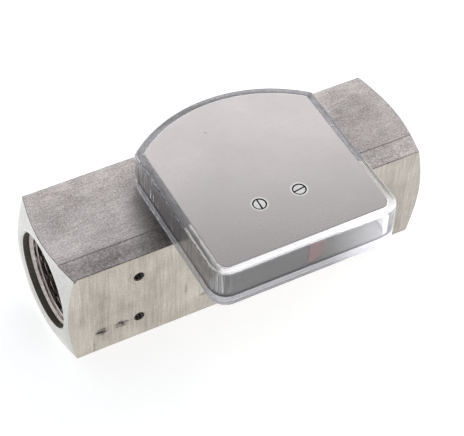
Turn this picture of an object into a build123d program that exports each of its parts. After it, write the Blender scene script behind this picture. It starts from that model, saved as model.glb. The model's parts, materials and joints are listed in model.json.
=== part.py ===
from build123d import *
import os
from math import cos, radians, sin, sqrt

# Square bar, X is the flow direction, Z is up, the origin is the middle of the underside
bar_side = 60.0
bar_length = 200.0
end_disc_radius = 29.0
end_cone_slope = 0.33
step_depth = 0.3
step_edge_y = -17.7
edge_break = 0.25

# Female pipe connections, parallel thread size 1 1/2
mouth_radius = 25.0
mouth_break = 1.0
mouth_depth = 4.4
thread_radius = 22.42
thread_length = 23.0
relief_radius = 24.15
relief_length = 3.6

# Flow passage and the stack of parts that it holds
passage_radius = 19.0
stack_bore_radius = 21.0
stack_centre_x = 6.0
liner_length = 100.0
guide_width = 8.0
slip_gap = 0.05
seat_gap = 0.1

# Two tapped holes in the front face, thread size M6
face_hole_radius = 2.5
face_hole_depth = 8.0
face_hole_sink = 0.35
face_hole_spacing = 30.6
face_hole_x = -61.6

# Metering liner, a bore that opens into a cone
metering_radius_zero = 15.5
metering_radius_full = 18.4
liner_ring_offset = 6.0
ring_cord_radius = 0.9

# Guide stars
guide_rim_wall = 3.2
guide_hub_radius = 5.5
guide_rib_width = 2.4
guide_rib_count = 3
guide_edge_chamfer = 0.6

# Guide rod with its nuts and stop washers
rod_radius = 3.0
rod_end_radius = 2.5
rod_end_length = 13.5
nut_flats = 8.0
nut_height = 4.0
washer_radius = 5.0
washer_thickness = 2.4

# Retaining ring for a 42 mm bore
ring_thickness = 1.75
ring_groove_radius = 22.25
ring_groove_width = 1.85
ring_width = 3.4
ring_taper_shift = 0.8
ring_lug_radius = 2.6
ring_lug_hole_radius = 1.1
ring_gap_angle = 22.0
ring_lug_lead = 4.0

# Float
float_body_radius = 12.5
float_nose_radius = 6.5
nose_fullness = 0.7
float_edge_radius = 15.2
float_edge_width = 2.0
float_tail_radius = 8.0
float_spigot_length = 4.0
float_head_cone_length = 5.0
float_tail_cone_length = 5.0
float_bush_length = 6.0
float_bush_radius = 5.0
float_core_radius = 3.8
magnet_length = 16.0
magnet_outer_radius = 10.8
magnet_chamber_gap = 0.1
core_tube_radius = 5.8
running_gap = 0.05

# Pointer drive, the follower magnet rides above the bore axis
pivot_y = -43.0
scale_half_angle = 30.0
rest_angle = 11.0
stop_gap = 0.1

# Indicator housing, a flat front, straight sides and an arc about the pivot
housing_width = 99.0
housing_front_y = -75.0
housing_arc_radius = 74.1
housing_height = 22.3
front_corner_radius = 9.0
back_corner_radius = 3.0
least_corner_radius = 0.8
rim_width = 4.0
ledge_width = 1.6
rim_round = 1.2
plate_gap = 0.15
base_thickness = 3.0
top_thickness = 2.5
plate_rise = 0.2
plate_edge_round = 0.4
gasket_thickness = 0.5

# Countersunk screws that hold the base plate on the bar, thread size M4
base_screw_radius = 2.0
base_screw_head_radius = 3.9
base_screw_head_height = 1.9
base_screw_length = 9.0
base_tap_depth = 7.0
base_screw_spread = 34.0
base_screw_edge_gap = 12.0
base_screw_wall_gap = 8.5

# Posts that carry the top plate, and their screws, thread size M3.5
post_spread = 10.75
post_radius = 3.8
post_tap_depth = 5.5
recess_radius = 3.45
recess_depth = 1.5
plate_hole_radius = 1.9
head_radius = 3.1
head_height = 1.35
head_edge_round = 0.25
slot_width = 0.8
slot_depth = 0.6
left_slot_angle = 88.0
right_slot_angle = 8.0
screw_thread_radius = 1.7
screw_thread_length = 4.5
under_head_radius = 3.2
under_head_height = 1.6

# Bearings and spindle of the pointer
spindle_radius = 1.0
bearing_radius = 2.8
bearing_flange_radius = 4.2
bearing_flange_height = 0.8
bearing_nose_radius = 2.2
bearing_nose_height = 2.2
bearing_pocket_depth = 1.5
bearing_end_wall = 0.6
end_play = 0.05

# Pointer
hub_radius = 4.0
arm_top_gap = 6.0
arm_thickness = 0.8
hub_neck_radius = 2.4
hub_neck_rise = 0.9
arm_root_width = 7.0
arm_tip_width = 2.4
arm_tip_gap = 1.1
arm_flag_length = 1.2
arm_flag_height = 4.2
arm_pad_width = 9.0
arm_pad_length = 13.0
follower_width = 8.0
follower_length = 12.0
follower_gap = 1.5
clip_height = 3.5
clip_wall = 0.8
clip_grip = 2.5
tail_root_width = 6.0
tail_gap = 0.5
tail_width = 9.0
tail_thickness = 1.4
tail_base_gap = 0.9
tail_rise = 3.2

# Scale strip and pointer stops
strip_thickness = 0.8
strip_height = 9.0
strip_half_angle = 35.0
strip_gap = 0.3
stop_pin_radius = 1.0
stop_pin_circle = 18.0
stop_pin_clearance = 0.4

# Values that follow from the ones above
half_length = bar_length / 2
half_side = bar_side / 2
bore_z = half_side
liner_start_x = stack_centre_x - liner_length / 2
liner_end_x = stack_centre_x + liner_length / 2
stack_start_x = liner_start_x - guide_width
stack_end_x = liner_end_x + guide_width
rod_hole_radius = rod_end_radius + slip_gap
passage_end_x = half_length - mouth_depth - thread_length - relief_length
follower_radius = -pivot_y
float_travel = 2 * follower_radius * radians(scale_half_angle)
float_centre_x = stack_centre_x - follower_radius * radians(rest_angle)
float_length = liner_length - float_travel - 2 * (washer_thickness + stop_gap)
float_edge_x = float_length / 2 - float_tail_cone_length - float_edge_width
float_shoulder_x = float_edge_x - float_head_cone_length
float_split_x = -magnet_length / 2 - float_spigot_length
liner_ring_x = liner_start_x + liner_ring_offset
magnet_inner_radius = core_tube_radius + magnet_chamber_gap
base_hole_radius = base_screw_radius + seat_gap
post_tap_radius = screw_thread_radius + slip_gap
base_top_z = bar_side + base_thickness
plate_top_z = bar_side + housing_height + plate_rise
plate_bottom_z = plate_top_z - top_thickness
inner_wall_inset = rim_width + ledge_width
inner_arc_radius = housing_arc_radius - inner_wall_inset
arm_tip_radius = inner_arc_radius - arm_tip_gap
tail_radius = pivot_y - housing_front_y - inner_wall_inset - tail_gap - tail_thickness
base_screw_front_y = base_screw_edge_gap - half_side
base_screw_back_y = pivot_y + sqrt(inner_arc_radius**2 - base_screw_spread**2) - base_screw_wall_gap
lower_pocket_z = base_top_z - bearing_pocket_depth
upper_pocket_z = plate_bottom_z + bearing_pocket_depth
hub_bottom_z = base_top_z + bearing_flange_height + bearing_nose_height
arm_bottom_z = plate_bottom_z - arm_top_gap
follower_top_z = arm_bottom_z - clip_height
follower_bottom_z = base_top_z + follower_gap
tail_bottom_z = base_top_z + tail_base_gap
tail_top_z = arm_bottom_z + tail_rise

pivot = Location((stack_centre_x, pivot_y, 0))
pointer_pose = pivot * Rotation(0, 0, rest_angle)


def revolved(outline, start_x):
    """Revolve a closed outline of x and radius about the bore axis."""
    return Location((start_x, 0, bore_z)) * revolve(make_face(outline), Axis.X, 360)


def turned(points, start_x=0.0):
    """Revolve straight lines between (x, radius) points about the bore axis."""
    return revolved(Polyline(*points, close=True), start_x)


def upright(radius, z_from, z_to, x=0.0, y=0.0):
    """A round bar parallel to Z between two heights."""
    height = z_to - z_from
    return Location((x, y, z_from + height / 2)) * Cylinder(radius, height)


def slab(width, length, z_from, z_to, y_middle=0.0):
    """A block centred on X at a distance along Y."""
    height = z_to - z_from
    return Location((0, y_middle, z_from + height / 2)) * Box(width, length, height)


def housing_outline(inset):
    """The housing's outline, moved inwards by an even distance."""
    half_width = housing_width / 2 - inset
    arc_radius = housing_arc_radius - inset
    front_y = housing_front_y - pivot_y + inset
    side_y = sqrt(arc_radius**2 - half_width**2)
    sides = Polyline(
        (half_width, side_y), (half_width, front_y), (-half_width, front_y), (-half_width, side_y)
    )
    arc = ThreePointArc((-half_width, side_y), (0, arc_radius), (half_width, side_y))
    face = make_face(sides + arc)
    front_corners = face.vertices().group_by(Axis.Y)[0]
    face = fillet(front_corners, max(front_corner_radius - inset, least_corner_radius))
    back_corners = [v for v in face.vertices() if abs(v.Y - side_y) < slip_gap]
    face = fillet(back_corners, max(back_corner_radius - inset, least_corner_radius))
    return pivot * face


def housing_solid(inset, z_from, z_to):
    """The housing's outline raised between two heights."""
    return Location((0, 0, z_from)) * extrude(housing_outline(inset), z_to - z_from)


def body_block():
    cone_end = half_length - (half_side * sqrt(2) - end_disc_radius) * end_cone_slope
    corner = half_side * sqrt(2)
    envelope = turned([
        (-half_length, 0), (-half_length, end_disc_radius), (-cone_end, corner),
        (cone_end, corner), (half_length, end_disc_radius), (half_length, 0),
    ])
    block = Location((0, 0, half_side)) * Box(bar_length, bar_side, bar_side)
    block = chamfer(block.edges().filter_by(Axis.X), edge_break) & envelope
    thread_lead = mouth_radius - thread_radius
    thread_start = half_length - mouth_depth
    thread_end = thread_start - thread_length
    bore = [
        (half_length, 0), (half_length, mouth_radius + mouth_break),
        (half_length - mouth_break, mouth_radius), (thread_start, mouth_radius),
        (thread_start - thread_lead, thread_radius),
        (thread_end, thread_radius), (thread_end, relief_radius), (passage_end_x, relief_radius),
    ]
    mirrored = [(-x, r) for x, r in reversed(bore)]
    block -= turned(bore + [
        (passage_end_x, stack_bore_radius), (stack_start_x, stack_bore_radius),
        (stack_start_x, passage_radius), (-passage_end_x, passage_radius),
    ] + mirrored)
    block -= turned([
        (stack_end_x, 0), (stack_end_x, ring_groove_radius),
        (stack_end_x + ring_groove_width, ring_groove_radius), (stack_end_x + ring_groove_width, 0),
    ])
    step_width = half_side + step_edge_y
    block -= Location((0, step_edge_y - step_width / 2, bar_side - step_depth / 2)) * Box(
        bar_length, step_width, step_depth
    )
    for side in (-1, 1):
        hole = Cylinder(face_hole_radius, 2 * face_hole_depth)
        hole += countersink(face_hole_radius + face_hole_sink, face_hole_radius, face_hole_sink)
        hole_z = bore_z + side * face_hole_spacing / 2
        block -= Location((face_hole_x, -half_side, hole_z), (90, 0, 0)) * hole
    for x, y in base_screw_places():
        block -= upright(base_hole_radius, bar_side - base_tap_depth, bar_side + step_depth, x, y)
    return block


def guide_star(start_x):
    rim_radius = stack_bore_radius - slip_gap
    rim_inner = rim_radius - guide_rim_wall
    chamfer = guide_edge_chamfer
    rim = turned([
        (0, rim_inner), (0, rim_radius - chamfer), (chamfer, rim_radius),
        (guide_width - chamfer, rim_radius), (guide_width, rim_radius - chamfer), (guide_width, rim_inner),
    ], start_x)
    hub = turned([(0, 0), (0, guide_hub_radius), (guide_width, guide_hub_radius), (guide_width, 0)], start_x)
    star = rim + hub
    rib_length = rim_inner + guide_rim_wall / 2
    for i in range(guide_rib_count):
        rib = Location((0, 0, rib_length / 2)) * Box(guide_width, guide_rib_width, rib_length)
        angle = i * 360 / guide_rib_count
        star += Location((start_x + guide_width / 2, 0, bore_z), (angle, 0, 0)) * rib
    return star - turned([
        (0, 0), (0, rod_hole_radius), (guide_width, rod_hole_radius), (guide_width, 0),
    ], start_x)


def metering_liner():
    outer = stack_bore_radius - slip_gap
    groove = ring_cord_radius * 2 + seat_gap
    groove_half = ring_cord_radius + seat_gap
    edge_mid = stack_centre_x + float_edge_x + float_edge_width
    cone_start = edge_mid - float_travel / 2
    cone_end = edge_mid + float_travel / 2
    return turned([
        (liner_start_x, metering_radius_zero), (liner_start_x, outer),
        (liner_ring_x - groove_half, outer), (liner_ring_x - groove_half, outer - groove),
        (liner_ring_x + groove_half, outer - groove), (liner_ring_x + groove_half, outer),
        (liner_end_x, outer), (liner_end_x, metering_radius_full),
        (cone_end, metering_radius_full), (cone_start, metering_radius_zero),
    ])


def liner_o_ring():
    ring_radius = stack_bore_radius - slip_gap - ring_cord_radius
    return Location((liner_ring_x, 0, bore_z), (0, 90, 0)) * Torus(ring_radius, ring_cord_radius)


def retaining_ring():
    outer = ring_groove_radius - slip_gap
    inner = outer - ring_width
    ring = Circle(outer) - Location((ring_taper_shift, 0)) * Circle(inner)
    gap_half = outer * sin(radians(ring_gap_angle))
    ring -= Location((outer, 0)) * Rectangle(2 * ring_width + 2 * ring_lug_radius, 2 * gap_half)
    lug_radius_at = outer - ring_width
    for side in (-1, 1):
        lug_angle = radians(ring_gap_angle + ring_lug_lead) * side
        place = Location((lug_radius_at * cos(lug_angle), lug_radius_at * sin(lug_angle)))
        ring += place * Circle(ring_lug_radius)
        ring -= place * Circle(ring_lug_hole_radius)
    ring = ring & Circle(outer)
    solid = extrude(ring, ring_thickness)
    return Location((stack_end_x + slip_gap, 0, bore_z), (0, 90, 0)) * solid


def guide_rod():
    tip = rod_end_radius / 4
    end_start = liner_start_x - rod_end_length
    end_stop = liner_end_x + rod_end_length
    return turned([
        (end_start, 0), (end_start, rod_end_radius - tip), (end_start + tip, rod_end_radius),
        (liner_start_x, rod_end_radius), (liner_start_x, rod_radius),
        (liner_end_x, rod_radius), (liner_end_x, rod_end_radius),
        (end_stop - tip, rod_end_radius), (end_stop, rod_end_radius - tip), (end_stop, 0),
    ])


def rod_nut(start_x):
    corner_radius = nut_flats / sqrt(3)
    nut = extrude(RegularPolygon(corner_radius, 6) - Circle(rod_hole_radius), nut_height)
    return Location((start_x, 0, bore_z), (0, 90, 0)) * nut


def stop_washer(start_x):
    hole = rod_radius + running_gap
    return turned([
        (0, hole), (0, washer_radius), (washer_thickness, washer_radius), (washer_thickness, hole),
    ], start_x)


def float_body():
    half = float_length / 2
    chamber_end = magnet_length / 2
    chamber = magnet_outer_radius + magnet_chamber_gap
    bush_pocket = float_bush_radius
    return turned([
        (float_split_x, chamber), (float_split_x, float_body_radius),
        (float_shoulder_x, float_body_radius), (float_edge_x, float_edge_radius),
        (float_edge_x + float_edge_width, float_edge_radius), (half, float_tail_radius),
        (half, bush_pocket), (half - float_bush_length, bush_pocket),
        (half - float_bush_length, float_core_radius), (-chamber_end, float_core_radius),
        (-chamber_end, core_tube_radius), (chamber_end, core_tube_radius), (chamber_end, chamber),
    ], float_centre_x)


def float_nose():
    half = float_length / 2
    spigot = magnet_outer_radius
    bush_end = float_bush_length - half
    arc_middle = (-half + float_split_x) / 2
    arc_height = float_nose_radius + nose_fullness * (float_body_radius - float_nose_radius)
    back = Polyline(
        (float_split_x, float_body_radius), (float_split_x, spigot), (-magnet_length / 2, spigot),
        (-magnet_length / 2, float_core_radius), (bush_end, float_core_radius),
        (bush_end, float_bush_radius), (-half, float_bush_radius), (-half, float_nose_radius),
    )
    front = ThreePointArc(
        (-half, float_nose_radius), (arc_middle, arc_height), (float_split_x, float_body_radius)
    )
    return revolved(back + front, float_centre_x)


def float_bush(start_x):
    return turned([
        (0, rod_radius + running_gap), (0, float_bush_radius),
        (float_bush_length, float_bush_radius), (float_bush_length, rod_radius + running_gap),
    ], float_centre_x + start_x)


def float_magnet():
    half = magnet_length / 2
    return turned([
        (-half, magnet_inner_radius), (-half, magnet_outer_radius),
        (half, magnet_outer_radius), (half, magnet_inner_radius),
    ], float_centre_x)


def base_screw_places():
    return [
        (stack_centre_x + side * base_screw_spread, y)
        for side in (-1, 1)
        for y in (base_screw_front_y, base_screw_back_y)
    ]


def post_places():
    return [(stack_centre_x + side * post_spread, pivot_y) for side in (-1, 1)]


def countersink(head_radius_at_face, shank_radius, height):
    """A cone that widens upwards to z = 0."""
    return Location((0, 0, -height / 2)) * Cone(shank_radius, head_radius_at_face, height)


def base_plate():
    plate = housing_solid(rim_width + plate_gap, bar_side, base_top_z)
    for x, y in base_screw_places():
        plate -= upright(base_hole_radius, bar_side, base_top_z, x, y)
        sink = countersink(base_screw_head_radius + seat_gap, base_hole_radius, base_screw_head_height)
        plate -= Location((x, y, base_top_z)) * sink
    for x, y in post_places():
        plate -= upright(plate_hole_radius, bar_side, base_top_z, x, y)
        sink = countersink(under_head_radius + seat_gap, plate_hole_radius, under_head_height)
        plate -= Location((x, y, bar_side), (180, 0, 0)) * sink
    plate -= pivot * upright(bearing_radius, lower_pocket_z, base_top_z)
    for x, y in stop_pin_places():
        plate -= upright(stop_pin_radius, lower_pocket_z, base_top_z, x, y)
    return plate


def base_screws():
    screws = []
    head_z = base_top_z
    for x, y in base_screw_places():
        head = countersink(base_screw_head_radius, base_screw_radius, base_screw_head_height)
        shank = upright(base_screw_radius, -base_screw_length, -base_screw_head_height)
        slot = Location((0, 0, -slot_depth / 2)) * Box(2 * base_screw_head_radius, slot_width, slot_depth)
        screws.append(Location((x, y, head_z)) * (head + shank - slot))
    return Compound(children=screws)


def cover_ring():
    ring = housing_solid(0, bar_side, bar_side + housing_height)
    top_edges = ring.faces().sort_by(Axis.Z)[-1].outer_wire().edges()
    ring = fillet(top_edges, rim_round)
    ring -= housing_solid(inner_wall_inset, bar_side, plate_top_z)
    ring -= housing_solid(rim_width, bar_side, base_top_z + gasket_thickness)
    ring -= housing_solid(rim_width, plate_bottom_z - gasket_thickness, plate_top_z)
    return ring


def cover_gasket(z_from):
    gasket = housing_solid(rim_width + plate_gap, z_from, z_from + gasket_thickness)
    return gasket - housing_solid(inner_wall_inset, z_from, z_from + gasket_thickness)


def top_plate():
    plate = housing_solid(rim_width + plate_gap, plate_bottom_z, plate_top_z)
    edges = plate.faces().sort_by(Axis.Z)[-1].edges()
    plate = fillet(edges, plate_edge_round)
    for x, y in post_places():
        plate -= upright(plate_hole_radius, plate_bottom_z, plate_top_z, x, y)
        plate -= upright(recess_radius, plate_top_z - recess_depth, plate_top_z, x, y)
    plate -= pivot * upright(bearing_radius, plate_bottom_z, upper_pocket_z)
    return plate


def plate_screw(side, slot_angle):
    seat_z = plate_top_z - recess_depth
    head = upright(head_radius, seat_z, seat_z + head_height)
    head = fillet(head.edges().sort_by(Axis.Z)[-1], head_edge_round)
    shank = upright(screw_thread_radius, plate_bottom_z - screw_thread_length, seat_z)
    slot = slab(2 * head_radius, slot_width, seat_z + head_height - slot_depth, seat_z + head_height)
    place = Location((stack_centre_x + side * post_spread, pivot_y, 0))
    return place * (head + shank - Rotation(0, 0, slot_angle) * slot)


def post(side):
    x = stack_centre_x + side * post_spread
    pillar = upright(post_radius, base_top_z, plate_bottom_z, x, pivot_y)
    pillar = chamfer(pillar.edges().filter_by(GeomType.CIRCLE), plate_edge_round)
    pillar -= upright(post_tap_radius, plate_bottom_z - post_tap_depth, plate_bottom_z, x, pivot_y)
    return pillar - upright(post_tap_radius, base_top_z, base_top_z + post_tap_depth, x, pivot_y)


def post_screws():
    screws = []
    for x, y in post_places():
        head = countersink(under_head_radius, screw_thread_radius, under_head_height)
        reach = base_thickness + screw_thread_length
        shank = upright(screw_thread_radius, -reach, -under_head_height)
        slot = Location((0, 0, -slot_depth / 2)) * Box(2 * under_head_radius, slot_width, slot_depth)
        screws.append(Location((x, y, bar_side), (180, 0, 0)) * (head + shank - slot))
    return Compound(children=screws)


def bearing():
    """A closed bush that stands on z = 0 with its nose up."""
    body_top = bearing_pocket_depth + bearing_flange_height
    nose_top = body_top + bearing_nose_height
    bush = upright(bearing_radius - slip_gap, 0, bearing_pocket_depth)
    bush += upright(bearing_flange_radius, bearing_pocket_depth, body_top)
    nose = Location((0, 0, body_top + bearing_nose_height / 2)) * Cone(
        bearing_radius, bearing_nose_radius, bearing_nose_height
    )
    return bush + nose - upright(spindle_radius + running_gap, bearing_end_wall, nose_top)


def lower_bearing():
    return pivot * Location((0, 0, lower_pocket_z)) * bearing()


def upper_bearing():
    return pivot * Location((0, 0, upper_pocket_z), (180, 0, 0)) * bearing()


def pointer_spindle():
    foot_z = lower_pocket_z + bearing_end_wall + end_play
    top_z = upper_pocket_z - bearing_end_wall - end_play
    rod = upright(spindle_radius, foot_z, top_z)
    return pivot * chamfer(rod.edges().filter_by(GeomType.CIRCLE), spindle_radius / 4)


def pointer_hub():
    neck_top = arm_bottom_z + arm_thickness + hub_neck_rise
    hub = upright(hub_radius, hub_bottom_z, arm_bottom_z)
    hub = chamfer(hub.edges().sort_by(Axis.Z)[0], plate_edge_round)
    hub += upright(hub_neck_radius, arm_bottom_z, neck_top)
    return pivot * (hub - upright(spindle_radius, hub_bottom_z, neck_top))


def pointer_arm():
    root = arm_root_width / 2
    tip = arm_tip_width / 2
    blade = make_face(Polyline(
        (-root, 0), (-tip, arm_tip_radius - arm_flag_length), (tip, arm_tip_radius - arm_flag_length),
        (root, 0), close=True,
    ))
    blade += Circle(root)
    tail_end = -tail_radius
    tail_half = tail_root_width / 2
    blade += make_face(Polyline(
        (-root, 0), (-tail_half, tail_end), (tail_half, tail_end), (root, 0), close=True,
    ))
    pad = Location((0, follower_radius)) * RectangleRounded(arm_pad_width, arm_pad_length, tip)
    blade += pad
    blade -= Circle(hub_neck_radius)
    arm = Location((0, 0, arm_bottom_z)) * extrude(blade, arm_thickness)
    flag_middle = arm_tip_radius - arm_flag_length / 2
    arm += slab(arm_tip_width, arm_flag_length, arm_bottom_z, arm_bottom_z + arm_flag_height, flag_middle)
    return pointer_pose * arm


def magnet_clip():
    width = follower_width + 2 * clip_wall
    length = follower_length + 2 * clip_wall
    bottom = follower_top_z - clip_grip
    clip = slab(width, length, bottom, arm_bottom_z, follower_radius)
    clip = fillet(clip.edges().filter_by(Axis.Z), clip_wall)
    pocket = slab(follower_width, follower_length, bottom, follower_top_z, follower_radius)
    return pointer_pose * (clip - pocket)


def follower_magnet():
    magnet = slab(
        follower_width, follower_length, follower_bottom_z, follower_top_z, follower_radius
    )
    return pointer_pose * chamfer(magnet.edges().filter_by(Axis.Z), plate_edge_round)


def pointer_tail():
    middle = -tail_radius - tail_thickness / 2
    flag = slab(tail_width, tail_thickness, tail_bottom_z, tail_top_z, middle)
    flag = fillet(flag.edges().filter_by(Axis.Y), clip_wall)
    return pointer_pose * flag


def scale_strip():
    outer = inner_arc_radius - strip_gap
    start = 90 - strip_half_angle
    sector = make_face(
        CenterArc((0, 0), outer, start, 2 * strip_half_angle)
        + CenterArc((0, 0), outer - strip_thickness, start, 2 * strip_half_angle)
        + end_line(outer, start)
        + end_line(outer, start + 2 * strip_half_angle)
    )
    return pivot * Location((0, 0, base_top_z)) * extrude(sector, strip_height)


def end_line(outer, angle):
    direction = (cos(radians(angle)), sin(radians(angle)))
    inner = outer - strip_thickness
    return Line(
        (direction[0] * outer, direction[1] * outer), (direction[0] * inner, direction[1] * inner)
    )


def stop_pin_places():
    arm_half = arm_root_width / 2 + (arm_tip_width - arm_root_width) / 2 * stop_pin_circle / arm_tip_radius
    reach = arm_half + stop_pin_radius + stop_pin_clearance
    offset = radians(scale_half_angle) + reach / stop_pin_circle
    return [
        (stack_centre_x + side * stop_pin_circle * sin(offset), pivot_y + stop_pin_circle * cos(offset))
        for side in (-1, 1)
    ]


def stop_pins():
    top = arm_bottom_z + arm_thickness + hub_neck_rise
    return Compound(children=[
        upright(stop_pin_radius, lower_pocket_z, top, x, y) for x, y in stop_pin_places()
    ])


pieces = {
    "body_block": body_block(),
    "inlet_guide": guide_star(stack_start_x),
    "outlet_guide": guide_star(liner_end_x),
    "metering_liner": metering_liner(),
    "liner_o_ring": liner_o_ring(),
    "retaining_ring": retaining_ring(),
    "guide_rod": guide_rod(),
    "inlet_nut": rod_nut(stack_start_x - nut_height),
    "outlet_nut": rod_nut(stack_end_x),
    "inlet_stop_washer": stop_washer(liner_start_x),
    "outlet_stop_washer": stop_washer(liner_end_x - washer_thickness),
    "float_body": float_body(),
    "float_nose": float_nose(),
    "float_magnet": float_magnet(),
    "nose_bush": float_bush(-float_length / 2),
    "tail_bush": float_bush(float_length / 2 - float_bush_length),
    "base_plate": base_plate(),
    "base_screws": base_screws(),
    "cover_ring": cover_ring(),
    "lower_gasket": cover_gasket(base_top_z),
    "upper_gasket": cover_gasket(plate_bottom_z - gasket_thickness),
    "top_plate": top_plate(),
    "left_plate_screw": plate_screw(-1, left_slot_angle),
    "right_plate_screw": plate_screw(1, right_slot_angle),
    "left_post": post(-1),
    "right_post": post(1),
    "post_screws": post_screws(),
    "lower_bearing": lower_bearing(),
    "upper_bearing": upper_bearing(),
    "scale_strip": scale_strip(),
    "stop_pins": stop_pins(),
    "pointer_spindle": pointer_spindle(),
    "pointer_hub": pointer_hub(),
    "pointer_arm": pointer_arm(),
    "magnet_clip": magnet_clip(),
    "follower_magnet": follower_magnet(),
    "pointer_tail": pointer_tail(),
}

os.makedirs("parts", exist_ok=True)
for name, piece in pieces.items():
    piece.label = name
    export_step(piece, "parts/" + name + ".step")
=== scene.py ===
import json
from math import cos, hypot, pi, radians, sin

import bmesh
import bpy
from mathutils import Matrix, Vector


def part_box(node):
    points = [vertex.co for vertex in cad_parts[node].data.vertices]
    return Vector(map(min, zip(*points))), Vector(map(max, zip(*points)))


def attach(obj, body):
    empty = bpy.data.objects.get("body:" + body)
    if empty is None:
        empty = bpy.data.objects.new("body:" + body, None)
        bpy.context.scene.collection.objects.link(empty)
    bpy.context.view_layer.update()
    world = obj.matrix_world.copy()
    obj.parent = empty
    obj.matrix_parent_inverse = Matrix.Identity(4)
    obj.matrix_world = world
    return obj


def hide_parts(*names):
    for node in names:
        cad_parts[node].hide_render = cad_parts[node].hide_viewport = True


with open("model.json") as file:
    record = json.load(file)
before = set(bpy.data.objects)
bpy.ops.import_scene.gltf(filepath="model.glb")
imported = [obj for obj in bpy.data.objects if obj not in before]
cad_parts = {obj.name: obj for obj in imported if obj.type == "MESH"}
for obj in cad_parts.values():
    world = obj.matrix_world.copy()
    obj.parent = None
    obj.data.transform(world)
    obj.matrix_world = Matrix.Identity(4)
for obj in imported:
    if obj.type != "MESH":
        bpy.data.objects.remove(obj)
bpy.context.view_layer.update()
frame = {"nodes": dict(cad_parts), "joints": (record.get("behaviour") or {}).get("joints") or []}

scene = bpy.context.scene


# Studio: a white table in a white room, with a grey card overhead and three weak lamps,
# at the front left, behind and at the right. The camera stands where the photographer
# stood. All its sizes are in metres.
PHOTO_WIDTH = 464
FOCAL_PIXELS = 1715.95
SENSOR_MM = 36.0
CAMERA_AZIMUTH = radians(-30.49)
CAMERA_ELEVATION = radians(48.37)
CAMERA_ROLL = radians(3.17)
CAMERA_DISTANCE = 0.87305
CAMERA_SHIFT = (0.00499, -0.00222)
BAR_CENTRE = Vector((0, 0, 0.030))
TABLE_HALF = 3.0
TABLE_GLOW = 0.58
CARD_Z = 0.42
CARD_CORNERS = [(-0.80, -0.70), (0.45, -0.70), (0.45, 0.13), (-0.70, 0.47)]
CARD_GLOW = 0.35


def place_camera():
    """The camera, back from the bar's centre along the photograph's line of sight."""
    back = Vector((
        sin(CAMERA_AZIMUTH) * cos(CAMERA_ELEVATION),
        -cos(CAMERA_AZIMUTH) * cos(CAMERA_ELEVATION),
        sin(CAMERA_ELEVATION),
    ))
    level_right = Vector((cos(CAMERA_AZIMUTH), sin(CAMERA_AZIMUTH), 0))
    level_up = back.cross(level_right)
    right = cos(CAMERA_ROLL) * level_right + sin(CAMERA_ROLL) * level_up
    up = -sin(CAMERA_ROLL) * level_right + cos(CAMERA_ROLL) * level_up
    eye = BAR_CENTRE + back * CAMERA_DISTANCE + right * CAMERA_SHIFT[0] + up * CAMERA_SHIFT[1]
    lens = bpy.data.cameras.new("photo_camera")
    lens.sensor_width = SENSOR_MM
    lens.lens = FOCAL_PIXELS / PHOTO_WIDTH * SENSOR_MM
    lens.clip_start = 0.05
    camera = bpy.data.objects.new("photo_camera", lens)
    scene.collection.objects.link(camera)
    turn = Matrix((right, up, back)).transposed().to_4x4()
    camera.matrix_world = Matrix.Translation(eye) @ turn
    scene.camera = camera


class Finish:
    """The node tree of one finish, with short ways to add to it."""

    def __init__(self, tree):
        self.tree = tree

    def add(self, kind, inputs=(), **settings):
        """A new node with its settings made and its inputs fed."""
        node = self.tree.nodes.new(kind)
        for name, value in settings.items():
            setattr(node, name, value)
        for name, value in dict(inputs).items():
            self.feed(node.inputs[name], value)
        return node

    def feed(self, socket, value):
        """Link a socket to another node's output, or write a plain value in it."""
        if isinstance(value, bpy.types.NodeSocket):
            self.tree.links.new(value, socket)
        elif socket.type == "RGBA":
            socket.default_value = (*value[:3], 1.0)
        else:
            socket.default_value = value

    def math(self, operation, first, second=0.0, third=0.0):
        numbers = {0: first, 1: second, 2: third}
        return self.add("ShaderNodeMath", numbers, operation=operation).outputs[0]

    def vector(self, operation, first, second=(0, 0, 0)):
        node = self.add("ShaderNodeVectorMath", {0: first, 1: second}, operation=operation)
        return node.outputs["Value" if operation in ("LENGTH", "DISTANCE") else "Vector"]

    def span(self, value, low, high, out_low=0.0, out_high=1.0):
        """A value stretched between two limits, and held at them."""
        return self.add("ShaderNodeMapRange", {
            "Value": value, "From Min": low, "From Max": high, "To Min": out_low, "To Max": out_high,
        }).outputs[0]

    def blend(self, amount, first, second):
        """Two colours mixed by a mask."""
        return self.add("ShaderNodeMix", {0: amount, 6: first, 7: second}, data_type="RGBA").outputs[2]


def seen_plainly(finish):
    """1 where a surface is seen, in a mirror or through clear plastic too, and 0 where it lights."""
    path = finish.add("ShaderNodeLightPath").outputs
    seen = finish.math("MAXIMUM", path["Is Camera Ray"], path["Is Transmission Ray"])
    return finish.math("MAXIMUM", seen, path["Is Glossy Ray"])


def white_room():
    """White all round where it is seen, and a little cooler and dimmer where it lights."""
    world = bpy.data.worlds.new("white_room")
    scene.world = world
    world.use_nodes = True
    world.node_tree.nodes.clear()
    finish = Finish(world.node_tree)
    room = finish.add("ShaderNodeBackground", {"Color": (0.94, 0.97, 1.0), "Strength": 0.92})
    white = finish.add("ShaderNodeBackground", {"Color": (1, 1, 1), "Strength": 1.0})
    mix = finish.add("ShaderNodeMixShader", {
        0: seen_plainly(finish), 1: room.outputs[0], 2: white.outputs[0]})
    finish.add("ShaderNodeOutputWorld", {"Surface": mix.outputs[0]})


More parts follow.
